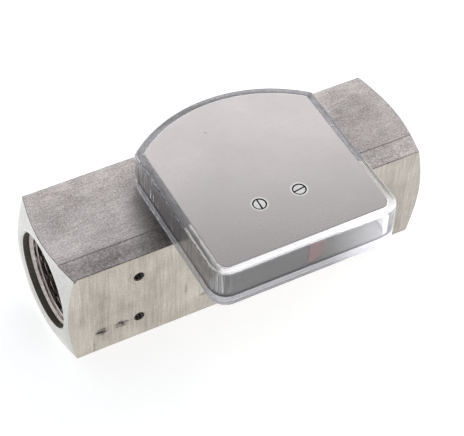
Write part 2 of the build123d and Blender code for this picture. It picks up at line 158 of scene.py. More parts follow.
def white_table():
    """A wide white sheet that the bar lies on, and that keeps its shadow."""
    half = TABLE_HALF
    mesh = bpy.data.meshes.new("white_table")
    mesh.from_pydata(
        [(-half, -half, 0), (half, -half, 0), (half, half, 0), (-half, half, 0)], [], [(0, 1, 2, 3)]
    )
    table = bpy.data.objects.new("white_table", mesh)
    scene.collection.objects.link(table)
    paper = bpy.data.materials.new("white_paper")
    paper.use_nodes = True
    finish = Finish(paper.node_tree)
    shader = paper.node_tree.nodes["Principled BSDF"]
    shader.inputs["Base Color"].default_value = (0.9, 0.9, 0.9, 1)
    shader.inputs["Roughness"].default_value = 0.9
    shader.inputs["Specular IOR Level"].default_value = 0.1
    glow = finish.math("MULTIPLY", seen_plainly(finish), TABLE_GLOW)
    finish.feed(shader.inputs["Emission Strength"], glow)
    shader.inputs["Emission Color"].default_value = (1, 1, 1, 1)
    mesh.materials.append(paper)


def grey_card():
    """A grey card overhead, which the metal faces that look up take their darker tone from."""
    mesh = bpy.data.meshes.new("grey_card")
    mesh.from_pydata([(x, y, CARD_Z) for x, y in CARD_CORNERS], [], [(3, 2, 1, 0)])
    card = bpy.data.objects.new("grey_card", mesh)
    card.visible_camera = False
    scene.collection.objects.link(card)
    grey = bpy.data.materials.new("grey_card_paper")
    grey.use_nodes = True
    shader = grey.node_tree.nodes["Principled BSDF"]
    shader.inputs["Base Color"].default_value = (0, 0, 0, 1)
    shader.inputs["Specular IOR Level"].default_value = 0
    shader.inputs["Emission Color"].default_value = (0.95, 0.97, 1.0, 1)
    shader.inputs["Emission Strength"].default_value = CARD_GLOW
    mesh.materials.append(grey)


def softbox(name, place, target, width, height, watts):
    """A rectangular lamp at a place, turned to a target."""
    light = bpy.data.lights.new(name, "AREA")
    light.shape = "RECTANGLE"
    light.size = width
    light.size_y = height
    light.energy = watts
    lamp = bpy.data.objects.new(name, light)
    lamp.location = place
    lamp.rotation_euler = (Vector(target) - Vector(place)).to_track_quat("-Z", "Y").to_euler()
    lamp.visible_camera = False
    scene.collection.objects.link(lamp)


place_camera()
white_room()
white_table()
grey_card()
softbox("front_lamp", (-1.1, -1.0, 0.9), (0, 0, 0.03), width=0.8, height=0.8, watts=0.4)
softbox("back_lamp", (0.9, 1.5, 1.3), (0, 0, 0.05), width=1.2, height=0.9, watts=1.0)
softbox("side_lamp", (0.95, 0.1, 0.5), (0.04, -0.05, 0.06), width=0.5, height=0.3, watts=2.2)
scene.cycles.max_bounces = 24
scene.cycles.glossy_bounces = 12
scene.cycles.transmission_bounces = 24
scene.view_settings.view_transform = "Standard"


# Square bar: stainless steel, 60 mm across, its ends turned to a shallow cone and its
# mouths bored and threaded for a 1 1/2 pipe. The top is milled, the front is ground
# across its length and has two tapped holes, and both faces carry workshop marks.
# Painted light on it: the housing's shadow on the top, dark reflections along the
# upper edges, painted shade in the bore and the tapped holes, and the top's pinkish
# and the front's beige tones, which are painted reflections.
MM = 0.001
BAR_LOW, BAR_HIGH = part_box("body_block")
BAR_FRONT_Y = BAR_LOW.y
BAR_TOP_Z = BAR_HIGH.z
BORE_Z = (BAR_LOW.z + BAR_HIGH.z) / 2
TOP_DROP = 0.05 * MM
EDGE_BREAK = 0.16 * MM
MOUTH_RADIUS = 25.0 * MM
MOUTH_DEPTH = 4.4 * MM
PIPE_THREAD_LENGTH = 23.0 * MM
PIPE_THREAD_END = BAR_HIGH.x - MOUTH_DEPTH
PIPE_THREAD_START = PIPE_THREAD_END - PIPE_THREAD_LENGTH
HOLE_DEPTH = 7.9 * MM
HOLE_X = -61.6 * MM
HOLE_SPACING = 30.6 * MM
HOLE_PLACES = [Vector((HOLE_X, BAR_FRONT_Y, BORE_Z + side * HOLE_SPACING / 2)) for side in (-1, 1)]
TOP, FRONT, BACK, END, SHADED_BORE, THREAD, SHADED_HOLE, HOLE_CREST, PAINTED_DARK_EDGE = range(9)
PIPE_THREAD = {
    "pitch": 2.309 * MM, "crest": 22.42 * MM, "root": 23.90 * MM, "lead_in": MOUTH_RADIUS,
    "around": 144, "along": 150, "finishes": (THREAD, THREAD),
}
# The tapped holes' thread roots take a painted shade finish; their crests keep a steel tone.
HOLE_THREAD = {
    "pitch": 1.0 * MM, "crest": 2.5 * MM, "root": 3.0 * MM, "lead_in": 2.85 * MM,
    "around": 40, "along": 64, "finishes": (HOLE_CREST, SHADED_HOLE),
}
CREST_FLAT = 0.16
FLANK_SHARE = 0.68
CREST_DEPTH = 0.1
SLACK = 0.1 * MM
SHADE_FADE = 0.03 * MM
nodes = frame["nodes"]


def new_group(name, inputs, outputs):
    """An empty node group with a place to read and the given numbers going in."""
    group = bpy.data.node_groups.new(name, "ShaderNodeTree")
    group.interface.new_socket("Vector", in_out="INPUT", socket_type="NodeSocketVector")
    for label, value in inputs.items():
        socket = group.interface.new_socket(label, in_out="INPUT", socket_type="NodeSocketFloat")
        socket.default_value = value
    for label in outputs:
        group.interface.new_socket(label, in_out="OUTPUT", socket_type="NodeSocketFloat")
    finish = Finish(group)
    given = finish.add("NodeGroupInput").outputs
    result = finish.add("NodeGroupOutput").inputs
    return group, finish, given, result


def tool_mark_group():
    """Fine marks along X that a tool or belt leaves, as a height and a light and dark mask."""
    group, finish, given, result = new_group(
        "tool_marks", {"Fineness": 900.0, "Stretch": 0.05, "Broken": 0.3}, ("Height", "Mask"))
    squeeze = finish.add("ShaderNodeCombineXYZ", {0: given["Stretch"], 1: 1.0, 2: 1.0}).outputs[0]
    along = finish.vector("MULTIPLY", given["Vector"], squeeze)
    fine = finish.add("ShaderNodeTexNoise", {
        "Vector": along, "Scale": given["Fineness"], "Detail": 3.0, "Roughness": 0.6}).outputs[0]
    wide_scale = finish.math("MULTIPLY", given["Fineness"], 0.2)
    wide = finish.add("ShaderNodeTexNoise", {
        "Vector": along, "Scale": wide_scale, "Detail": 2.0, "Roughness": 0.5}).outputs[0]
    areas = finish.add("ShaderNodeTexNoise", {
        "Vector": given["Vector"], "Scale": 55.0, "Detail": 2.0}).outputs[0]
    both = finish.math("ADD", fine, finish.math("MULTIPLY", wide, 0.6))
    lost = finish.math("MULTIPLY", finish.span(areas, 0.35, 0.65), given["Broken"])
    kept = finish.math("SUBTRACT", 1.0, lost)
    height = finish.math("MULTIPLY", finish.math("SUBTRACT", both, 0.8), kept)
    finish.feed(result["Height"], height)
    finish.feed(result["Mask"], finish.span(height, -0.2, 0.2))
    return group


def mottle_group():
    """Cloudy patches and a fine speckle, as on bare metal that has been handled."""
    group, finish, given, result = new_group(
        "mottle", {"Patch Scale": 55.0, "Speckle Scale": 900.0, "Speckle Share": 0.5},
        ("Mask", "Speckle"))
    patch = finish.add("ShaderNodeTexNoise", {
        "Vector": given["Vector"], "Scale": given["Patch Scale"], "Detail": 5.0, "Roughness": 0.62,
        "Distortion": 0.4}).outputs[0]
    dots = finish.add("ShaderNodeTexNoise", {
        "Vector": given["Vector"], "Scale": given["Speckle Scale"], "Detail": 3.0,
        "Roughness": 0.7}).outputs[0]
    patch = finish.span(patch, 0.33, 0.67)
    dots = finish.span(dots, 0.34, 0.66)
    fine = finish.math("MULTIPLY", given["Speckle Share"], dots)
    broad = finish.math("MULTIPLY", finish.math("SUBTRACT", 1.0, given["Speckle Share"]), patch)
    finish.feed(result["Mask"], finish.math("ADD", fine, broad))
    finish.feed(result["Speckle"], dots)
    return group


def smudge_and_shade_group():
    """One ragged mark round a place on the bar, strongest at its middle; used for smudges and for
    painted shade.
    """
    group, finish, given, result = new_group(
        "smudge", {"X": 0.0, "Y": 0.0, "Z": 0.0, "Long": 0.004, "Deep": 0.004, "High": 0.0015,
                   "Ragged": 1.0}, ("Mask",))
    middle = finish.add("ShaderNodeCombineXYZ", {
        0: given["X"], 1: given["Y"], 2: given["Z"]}).outputs[0]
    size = finish.add("ShaderNodeCombineXYZ", {
        0: given["Long"], 1: given["Deep"], 2: given["High"]}).outputs[0]
    away = finish.vector("SUBTRACT", given["Vector"], middle)
    reach = finish.vector("LENGTH", finish.vector("DIVIDE", away, size))
    ragged = finish.add("ShaderNodeTexNoise", {
        "Vector": given["Vector"], "Scale": 650.0, "Detail": 3.0, "Roughness": 0.7}).outputs[0]
    core = finish.span(reach, 1.0, 0.1)
    least = finish.math("MULTIPLY_ADD", given["Ragged"], -0.75, 1.0)
    most = finish.math("MULTIPLY_ADD", given["Ragged"], 0.4, 1.0)
    torn = finish.math("MULTIPLY", core, finish.span(ragged, 0.4, 0.6, least, most))
    finish.feed(result["Mask"], torn)
    return group


TOOL_MARKS = tool_mark_group()
MOTTLE = mottle_group()
SMUDGE_AND_SHADE = smudge_and_shade_group()


def place_group(finish, group, vector, **values):
    """A group in a finish, read at a place, with its numbers written like speckle_share=0.4."""
    node = finish.add("ShaderNodeGroup", node_tree=group)
    finish.feed(node.inputs["Vector"], vector)
    for label, value in values.items():
        finish.feed(node.inputs[label.replace("_", " ").title()], value)
    return node.outputs


def metal(name, dark, light, roughness, spread=0.06, turn=(0, 0, 0), fineness=900.0, stretch=0.05,
          broken=0.3, patch=55.0, grain=900.0, speckle=0.5, marks=0.5, bump=0.15, smudges_and_shade=(),
          soil_and_shade=(0, 0, 0), sunk_below=None):
    """Bare or plated metal: two tones from tool marks and patches, uneven gloss, any smudges and patches
    of painted shade, and painted shade below a given height.
    """
    material = bpy.data.materials.new(name)
    material.use_nodes = True
    finish = Finish(material.node_tree)
    shader = material.node_tree.nodes["Principled BSDF"]
    here = finish.add("ShaderNodeTexCoord").outputs["Object"]
    turned = finish.add("ShaderNodeMapping", {"Vector": here, "Rotation": [radians(a) for a in turn]})
    lines = place_group(finish, TOOL_MARKS, turned.outputs[0],
                        fineness=fineness, stretch=stretch, broken=broken)
    cloud = place_group(finish, MOTTLE, here,
                        patch_scale=patch, speckle_scale=grain, speckle_share=speckle)
    tone = finish.math("ADD", finish.math("MULTIPLY", lines["Mask"], marks),
                       finish.math("MULTIPLY", cloud["Mask"], 1.0 - marks))
    colour = finish.blend(tone, dark, light)
    for x, y, z, long, deep, high, strength, ragged in smudges_and_shade:
        mark = place_group(finish, SMUDGE_AND_SHADE, here, x=x * MM, y=y * MM, z=z * MM,
                           long=long * MM, deep=deep * MM, high=high * MM, ragged=ragged)
        colour = finish.blend(finish.math("MULTIPLY", mark["Mask"], strength), colour, soil_and_shade)
    # Painted shade: below the given height the colour turns to the dark tone.
    if sunk_below is not None:
        height = finish.add("ShaderNodeSeparateXYZ", {0: here}).outputs["Z"]
        sunk = finish.span(height, sunk_below + SHADE_FADE, sunk_below - SHADE_FADE)
        colour = finish.blend(sunk, colour, soil_and_shade)
    finish.feed(shader.inputs["Base Color"], colour)
    dulled = finish.span(tone, 0.0, 1.0, roughness + spread, roughness - spread)
    finish.feed(shader.inputs["Roughness"], dulled)
    shader.inputs["Metallic"].default_value = 1.0
    relief = finish.add("ShaderNodeBump", {
        "Strength": bump, "Distance": 0.0002, "Height": lines["Height"]})
    finish.feed(shader.inputs["Normal"], relief.outputs[0])
    return material


# Each mark has the x, y and z of its middle and its half length, depth and height, all
# in millimetres, and then how strong and how ragged it is. Most are smudges and scuffs;
# the ones noted are painted shade and painted dark reflections.
TOP_SMUDGES_AND_SHADE = [
    (-62.1, 7.1, 60, 0.8, 0.8, 0.8, 1.2, 1.0),
    # Painted shadow: the housing's shade on the top beside its left wall.
    (-40.0, -20.0, 60, 20.0, 46.0, 9.0, 1.0, 0.2),
    # Painted shadow: the front strip left of the housing, darkened where that shade falls.
    (-76.0, -25.0, 60, 44.0, 10.0, 9.0, 0.55, 0.5),
    # Painted dark reflection: a thin dark line along the top's front edge, left and right of the
    # housing.
    (-72.0, -30.0, 60, 60.0, 0.9, 9.0, 1.0, 0.4),
    (78.0, -30.0, 60, 40.0, 0.9, 9.0, 1.0, 0.4),
    (82.0, 8.0, 60, 44.0, 38.0, 9.0, 0.25, 0.2),
]
FRONT_SMUDGES_AND_SHADE = [
    (-82.0, -30, 14.0, 4.0, 9.0, 3.2, 1.5, 1.0),
    (-71.6, -30, 14.2, 4.4, 9.0, 3.0, 1.5, 1.0),
    (-25.6, -30, 13.1, 3.0, 9.0, 1.8, 0.8, 1.0),
    (-95.0, -30, 58.9, 1.3, 9.0, 1.3, 1.3, 1.0),
    (-86.2, -30, 5.0, 0.9, 9.0, 8.0, 0.6, 1.0),
    (-66.6, -30, 14.6, 4.0, 9.0, 1.2, 0.5, 1.0),
    (-36.0, -30, 22.0, 1.0, 9.0, 6.0, 0.5, 1.0),
    # Painted dark reflection: the same dark line along the front's top edge.
    (-72.0, -30, 60, 60.0, 9.0, 0.7, 0.8, 0.4),
    (78.0, -30, 60, 40.0, 9.0, 0.7, 0.8, 0.4),
    (80.0, -30, 30, 34.0, 40.0, 60.0, 0.3, 0.1),
]
# The left end is darker and warmer towards its front and bottom.
END_DARKER_FRONT = [(-93.0, -28.0, 14.0, 10.0, 9.0, 30.0, 0.45, 0.1)]

BAR_FINISHES = {
    # The top's pinkish and the front's beige tones are painted reflections; the marks on them are their
    # real milling and grinding.
    TOP: metal("milled_steel_top", (0.23, 0.20, 0.20), (0.95, 0.89, 0.88), 0.46, fineness=560.0,
               stretch=0.3, patch=38.0, grain=1100.0, speckle=0.6, marks=0.2, bump=0.3,
               smudges_and_shade=TOP_SMUDGES_AND_SHADE, soil_and_shade=(0.08, 0.07, 0.065)),
    FRONT: metal("ground_steel_front", (0.32, 0.285, 0.245), (0.775, 0.725, 0.655), 0.44,
                 turn=(0, 90, 0), fineness=1000.0, stretch=0.05, patch=45.0, grain=900.0, speckle=0.45,
                 marks=0.42, bump=0.3, smudges_and_shade=FRONT_SMUDGES_AND_SHADE, soil_and_shade=(0.06, 0.055, 0.05)),
    BACK: metal("rolled_steel_back", (0.36, 0.335, 0.31), (0.62, 0.59, 0.55), 0.46, turn=(0, 90, 0),
                fineness=1000.0, stretch=0.08, marks=0.5, bump=0.2),
    END: metal("turned_steel_end", (0.55, 0.54, 0.52), (0.72, 0.71, 0.69), 0.28, fineness=700.0,
               stretch=0.5, marks=0.4, bump=0.1, smudges_and_shade=END_DARKER_FRONT, soil_and_shade=(0.30, 0.27, 0.23)),
    # Painted shade: the counterbore wall is darker than the bar's outside, as shade inside the bore.
    SHADED_BORE: metal("bored_steel_wall_painted_shade", (0.19, 0.18, 0.15), (0.43, 0.41, 0.36), 0.36, fineness=600.0,
                stretch=0.3, bump=0.12),
    THREAD: metal("cut_thread_steel", (0.27, 0.24, 0.225), (0.66, 0.60, 0.585), 0.24, fineness=500.0,
                  stretch=0.3, marks=0.4, bump=0.08),
    # Painted shade: the thread roots in the tapped holes are near black, as shade inside the holes.
    SHADED_HOLE: metal("tapped_hole_painted_shade", (0.004, 0.004, 0.003), (0.05, 0.045, 0.04), 0.25, fineness=900.0,
                stretch=0.3, bump=0.1),
    HOLE_CREST: metal("tap_burnished_crest", (0.24, 0.22, 0.21), (0.55, 0.52, 0.49), 0.3, fineness=900.0,
                      stretch=0.3, bump=0.1),
    # Painted dark reflection: the broken edges near black, for the dark they reflect.
    PAINTED_DARK_EDGE: metal("broken_edge_painted_dark", (0.03, 0.028, 0.026), (0.12, 0.11, 0.10), 0.5, fineness=500.0,
                stretch=0.2, bump=0.1),
}


def welded_copy(node_name, piece_name):
    """A copy of a frame node's mesh with its split corners joined again."""
    mesh = nodes[node_name].data.copy()
    mesh.name = piece_name
    mesh.materials.clear()
    build = bmesh.new()
    build.from_mesh(mesh)
    bmesh.ops.remove_doubles(build, verts=build.verts, dist=1e-6)
    build.to_mesh(mesh)
    build.free()
    piece = bpy.data.objects.new(piece_name, mesh)
    scene.collection.objects.link(piece)
    return piece


def bore_distance(point):
    """How far a point lies from the bore's axis."""
    return hypot(point.y, point.z - BORE_Z)


def in_front_hole(face):
    """Whether a face lies in one of the two tapped holes."""
    rim = HOLE_THREAD["lead_in"] + SLACK
    return any(
        max(hypot(v.co.x - hole.x, v.co.z - hole.z) for v in face.verts) < rim
        for hole in HOLE_PLACES
    )


def thread_cut(thread, depth, turn):
    """How deep the thread is cut at a place, from 0 at its crest to 1 at its root."""
    slope = abs((depth / thread["pitch"] - turn) % 1.0 * 2 - 1)
    return min(1.0, max(0.0, (slope - CREST_FLAT) / FLANK_SHARE))


def cut_thread(build, thread, start, end, place):
    """A right-hand inside thread from one depth to another, with its lead-in at the mouth."""
    around = thread["around"]
    along = thread["along"]
    rows = []
    for i in range(along + 1):
        depth = start + (end - start) * i / along
        lead_in = thread["lead_in"] - abs(end - depth)
        row = []
        for j in range(around):
            cut = thread_cut(thread, depth, j / around)
            radius = thread["crest"] + (thread["root"] - thread["crest"]) * cut
            row.append(build.verts.new(place(depth, max(radius, lead_in), 2 * pi * j / around)))
        rows.append(row)
    for i, (near, far) in enumerate(zip(rows, rows[1:])):
        middle = start + (end - start) * (i + 0.5) / along
        for j in range(around):
            k = (j + 1) % around
            face = build.faces.new((near[j], near[k], far[k], far[j]))
            cut = thread_cut(thread, middle, (j + 0.5) / around)
            face.material_index = thread["finishes"][cut > CREST_DEPTH]
            face.smooth = True


def outlet_mouth(depth, radius, angle):
    """A place in the outlet's thread, by its distance from the bar's middle, radius and angle."""
    return Vector((depth, radius * cos(angle), BORE_Z + radius * sin(angle)))


def inlet_mouth(depth, radius, angle):
    """The same place in the inlet's thread, turned half round so that it is right-hand too."""
    return Vector((-depth, -radius * cos(angle), BORE_Z + radius * sin(angle)))


def bar_finish_of(face):
    """Which of the bar's finishes a face has, or none where a thread takes its place."""
    bore = [bore_distance(v.co) for v in face.verts]
    reach = [abs(v.co.x) for v in face.verts]
    if min(bore) > PIPE_THREAD["crest"] - 2 * SLACK and max(bore) < PIPE_THREAD["lead_in"] + SLACK:
        after_start = min(reach) > PIPE_THREAD_START - 2 * SLACK
        before_end = max(reach) < PIPE_THREAD_END + 2 * SLACK
        if after_start and before_end and max(reach) > PIPE_THREAD_START + 2 * SLACK:
            return None
    if max(bore) < MOUTH_RADIUS + SLACK:
        return SHADED_BORE
    if in_front_hole(face):
        deep = [v.co.y - BAR_FRONT_Y for v in face.verts]
        return SHADED_HOLE if min(deep) > HOLE_DEPTH - SLACK else None
    normal = face.normal
    if abs(normal.x) > 0.6:
        return END
    # Chamfered faces between the top and the front take the painted dark line.
    if abs(normal.y) > 0.3 and abs(normal.z) > 0.3:
        return PAINTED_DARK_EDGE
    if normal.z > 0.5:
        return TOP
    return FRONT if normal.y < -0.5 else BACK


def square_bar():
    """The bar with its finishes, broken edges and threads, its top a hair under the housing floor."""
    piece = welded_copy("body_block", "square_bar")
    for index in sorted(BAR_FINISHES):
        piece.data.materials.append(BAR_FINISHES[index])
    build = bmesh.new()
    build.from_mesh(piece.data)
    replaced = []
    for face in build.faces:
        index = bar_finish_of(face)
        if index is None:
            replaced.append(face)
        else:
            face.material_index = index
    bmesh.ops.delete(build, geom=replaced, context="FACES")
    rims = [
        edge for edge in build.edges
        if len(edge.link_faces) == 2
        and sorted(f.material_index == END for f in edge.link_faces) == [False, True]
        and all(f.material_index in (TOP, FRONT, BACK, END) for f in edge.link_faces)
    ]
    bmesh.ops.bevel(build, geom=rims, offset=EDGE_BREAK, segments=1, affect="EDGES", material=PAINTED_DARK_EDGE)
    # Painted dark reflection: only the bevel faces that look up keep the dark line; the rest take the
    # end's finish.
    for face in build.faces:
        if face.material_index == PAINTED_DARK_EDGE and face.normal.z < 0.3:
            face.material_index = END
    for vert in build.verts:
        if vert.co.z > BAR_TOP_Z - SLACK:
            vert.co.z -= TOP_DROP
    cut_thread(build, PIPE_THREAD, PIPE_THREAD_START, PIPE_THREAD_END, outlet_mouth)
    cut_thread(build, PIPE_THREAD, PIPE_THREAD_START, PIPE_THREAD_END, inlet_mouth)
    for hole in HOLE_PLACES:
        def hole_mouth(depth, radius, angle):
            return hole + Vector((radius * cos(angle), HOLE_DEPTH - depth, radius * sin(angle)))
        cut_thread(build, HOLE_THREAD, 0, HOLE_DEPTH, hole_mouth)
    build.to_mesh(piece.data)
    build.free()
    piece.data.shade_smooth()
    piece.data.set_sharp_from_angle(angle=radians(12))
    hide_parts("body_block")
    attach(piece, "meter")


square_bar()


# Flow parts in the bore: two guide stars, the turned metering liner with its seal, the
# rod with its nuts and white washers, and the spring ring that holds the stack in place.
def moulded(name, dark, light, roughness, grain=2500.0, patch=90.0, bump=0.1, spread=0.05, coat=0.0):
    """Moulded, cast or painted surface: two close tones, a fine grain and uneven gloss."""
    material = bpy.data.materials.new(name)
    material.use_nodes = True
    finish = Finish(material.node_tree)
    shader = material.node_tree.nodes["Principled BSDF"]
    here = finish.add("ShaderNodeTexCoord").outputs["Object"]
    cloud = place_group(finish, MOTTLE, here, patch_scale=patch, speckle_scale=grain)
    finish.feed(shader.inputs["Base Color"], finish.blend(cloud["Mask"], dark, light))
    finish.feed(shader.inputs["Roughness"],
                finish.span(cloud["Mask"], 0.0, 1.0, roughness + spread, roughness - spread))
    shader.inputs["Coat Weight"].default_value = coat
    relief = finish.add("ShaderNodeBump", {
        "Strength": bump, "Distance": 0.0001, "Height": cloud["Speckle"]})
    finish.feed(shader.inputs["Normal"], relief.outputs[0])
    return material


def dress(material, *node_names):
    """Give frame nodes, whose shape is right as it is, their material."""
    for name in node_names:
        mesh = nodes[name].data
        mesh.materials.clear()
        mesh.materials.append(material)


TURNED_STEEL = metal("turned_inner_steel", (0.36, 0.355, 0.35), (0.62, 0.61, 0.60), 0.32,
                     fineness=700.0, stretch=0.4)
ROD_STEEL = metal("polished_rod_steel", (0.58, 0.58, 0.58), (0.78, 0.78, 0.78), 0.2,
                  fineness=900.0, stretch=0.5)
SPRING_STEEL = metal("phosphated_spring_steel", (0.10, 0.10, 0.11), (0.24, 0.24, 0.25), 0.42,
                     fineness=600.0, stretch=0.3)
WHITE_POLYMER = moulded("white_polymer", (0.78, 0.78, 0.75), (0.88, 0.88, 0.86), 0.45)
BLACK_RUBBER = moulded("black_rubber", (0.030, 0.030, 0.031), (0.075, 0.075, 0.077), 0.62)
dress(TURNED_STEEL, "inlet_guide", "outlet_guide", "metering_liner")
dress(ROD_STEEL, "guide_rod", "inlet_nut", "outlet_nut")
dress(SPRING_STEEL, "retaining_ring")
dress(WHITE_POLYMER, "inlet_stop_washer", "outlet_stop_washer")
dress(BLACK_RUBBER, "liner_o_ring")


# Float: a turned stainless body and screwed nose round a ferrite ring magnet, with
# polymer bushes pressed in at both ends to run on the rod.
FERRITE = moulded("ferrite_magnet", (0.075, 0.075, 0.08), (0.14, 0.14, 0.145), 0.55, bump=0.3)
dress(TURNED_STEEL, "float_body", "float_nose")
dress(WHITE_POLYMER, "nose_bush", "tail_bush")
dress(FERRITE, "float_magnet")


# Housing floor: a brushed aluminium plate held to the bar by four countersunk screws,
# with the two round posts that carry the top plate, and a black seal under the ring's ledge.
# Painted shade: the floor's tone is set dark for the shade it lies in under the top plate.
SHADED_BRUSHED_ALUMINIUM = metal("brushed_aluminium_floor_painted_shade", (0.45, 0.43, 0.41), (0.55, 0.53, 0.505), 0.85,
                          fineness=1500.0, stretch=0.04, marks=0.6, bump=0.15)
MILLED_EDGE = metal("milled_aluminium_edge", (0.84, 0.83, 0.84), (0.96, 0.95, 0.96), 0.5,
                    fineness=700.0, stretch=0.2, bump=0.1)
ZINC_STEEL = metal("zinc_plated_steel", (0.52, 0.54, 0.55), (0.74, 0.75, 0.76), 0.3,
                   fineness=900.0, stretch=0.5)
dress(SHADED_BRUSHED_ALUMINIUM, "base_plate")
floor = nodes["base_plate"].data
floor.materials.append(MILLED_EDGE)
for face in floor.polygons:
    upright = abs(face.normal.z) < 0.5
    face.material_index = 1 if upright else 0
dress(ZINC_STEEL, "base_screws", "post_screws")
dress(ROD_STEEL, "left_post", "right_post", "stop_pins")
dress(BLACK_RUBBER, "lower_gasket")


# Pointer: a steel spindle in brass bearings, a brass hub, a red lacquered arm with a
# counterweight flag at the front, and the black clip that holds the follower magnet.
BRASS = metal("turned_brass", (0.50, 0.36, 0.14), (0.78, 0.60, 0.28), 0.28,
              fineness=800.0, stretch=0.4)
RED_LACQUER = moulded("red_lacquer", (0.22, 0.02, 0.022), (0.29, 0.028, 0.032), 0.45, coat=0.2)
BLACK_CLIP = moulded("black_clip_polymer", (0.025, 0.025, 0.027), (0.05, 0.05, 0.053), 0.5)
dress(ROD_STEEL, "pointer_spindle")
dress(BRASS, "lower_bearing", "upper_bearing", "pointer_hub")
dress(RED_LACQUER, "pointer_arm", "pointer_tail")
dress(BLACK_CLIP, "magnet_clip")
dress(FERRITE, "follower_magnet")


# Scale: a white enamelled strip bent to the rear arc, printed on its outer face with
# black divisions and plain numbers, because it is read through the clear rear wall.
POINTER_TURN = next(joint for joint in frame["joints"] if joint["name"] == "pointer_turn")
PIVOT = Vector((*POINTER_TURN["pos_m"][:2], 0))
SWEEP_START, SWEEP_END = POINTER_TURN["range_deg"]
SCALE_HALF_ANGLE = (SWEEP_END - SWEEP_START) / 2
STRIP_POINTS = [v.co for v in nodes["scale_strip"].data.vertices]
STRIP_RADIUS = max(hypot(p.x - PIVOT.x, p.y - PIVOT.y) for p in STRIP_POINTS)
SCALE_TOP_Z = max(p.z for p in STRIP_POINTS) - 0.4 * MM
PRINT_LIFT = 0.03 * MM
DIVISIONS = 50
LONG_MARK = 3.2 * MM
MIDDLE_MARK = 2.4 * MM
SHORT_MARK = 1.6 * MM
BROAD_MARK_HALF = 0.16 * MM
FINE_MARK_HALF = 0.1 * MM
NUMBER_Z = SCALE_TOP_Z - 7.0 * MM
NUMBER_HEIGHT = 3.4 * MM
WHITE_ENAMEL = moulded("white_enamel", (0.80, 0.80, 0.78), (0.88, 0.88, 0.86), 0.4, coat=0.2)
PRINT_INK = moulded("scale_ink", (0.012, 0.012, 0.013), (0.035, 0.035, 0.037), 0.5)


def division_angle(i):
    """The angle of a division from the middle of the scale, in degrees."""
    return -SCALE_HALF_ANGLE + 2 * SCALE_HALF_ANGLE * i / DIVISIONS


def on_strip(degrees, sideways, z):
    """A point on the strip's outer face, at an angle and then a distance to the reader's right."""
    angle = radians(degrees) - sideways / STRIP_RADIUS
    radius = STRIP_RADIUS + PRINT_LIFT
    return PIVOT + Vector((radius * sin(angle), radius * cos(angle), z))


def scale_print():
    """The divisions and numbers, bent round the strip and a hair in front of it."""
    build = bmesh.new()
    for i in range(DIVISIONS + 1):
        length = LONG_MARK if i % 10 == 0 else MIDDLE_MARK if i % 5 == 0 else SHORT_MARK
        half = BROAD_MARK_HALF if i % 5 == 0 else FINE_MARK_HALF
        low = SCALE_TOP_Z - length
        corners = ((-half, low), (half, low), (half, SCALE_TOP_Z), (-half, SCALE_TOP_Z))
        build.faces.new([build.verts.new(on_strip(division_angle(i), x, z)) for x, z in corners])
    for i in range(0, DIVISIONS + 1, 10):
        letters = bpy.data.curves.new("number", "FONT")
        letters.body = str(i * 2)
        letters.size = NUMBER_HEIGHT
        letters.align_x = "CENTER"
        stamp = bpy.data.objects.new("number", letters)
        shape = bpy.data.meshes.new_from_object(stamp)
        first = len(build.verts)
        build.from_mesh(shape)
        build.verts.ensure_lookup_table()
        for vert in build.verts[first:]:
            vert.co = on_strip(division_angle(i), vert.co.x, NUMBER_Z + vert.co.y)
        bpy.data.objects.remove(stamp)
        bpy.data.curves.remove(letters)
        bpy.data.meshes.remove(shape)
    mesh = bpy.data.meshes.new("scale_print")
    build.to_mesh(mesh)
    build.free()
    mesh.materials.append(PRINT_INK)
    piece = bpy.data.objects.new("scale_print", mesh)
    scene.collection.objects.link(piece)
    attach(piece, "meter")


dress(WHITE_ENAMEL, "scale_strip")
scale_print()


# Clear ring: the housing wall, moulded in water-clear polycarbonate with a rounded top
# rim. It is clamped between both plates on flat seals, the upper one of white silicone.
# The rim and the front right corner glow a little: painted light, made with emission.
RING_LOW, RING_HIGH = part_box("cover_ring")
RIM_LOW_Z = RING_HIGH.z - 0.7 * MM
FRONT_RIM_Y = RING_LOW.y + 3.8 * MM
PAINTED_GLOW_TINT = Vector((0.94, 0.94, 1.0))
PAINTED_CORNER_GLOW = 0.2
CORNER_X = (18.0 * MM, 50.0 * MM)
CORNER_Y = (-60.0 * MM, -70.0 * MM)
WALL, PALE_RIM, BRIGHT_RIM = range(3)

# Upright streaks from the moulding: where each group has its middle, how far it reaches,
# how far it is at its full strength, its fineness and its depth.
FLOW_STREAKS = [
    (Vector((-38.0, -69.5, 0)) * MM, 12.0 * MM, 5.0 * MM, 1100.0, 0.7),
    (Vector((-44.0, 4.0, 0)) * MM, 16.0 * MM, 7.0 * MM, 420.0, 2.0),
    (Vector((-44.0, -28.0, 0)) * MM, 38.0 * MM, 26.0 * MM, 90.0, 1.5),
]


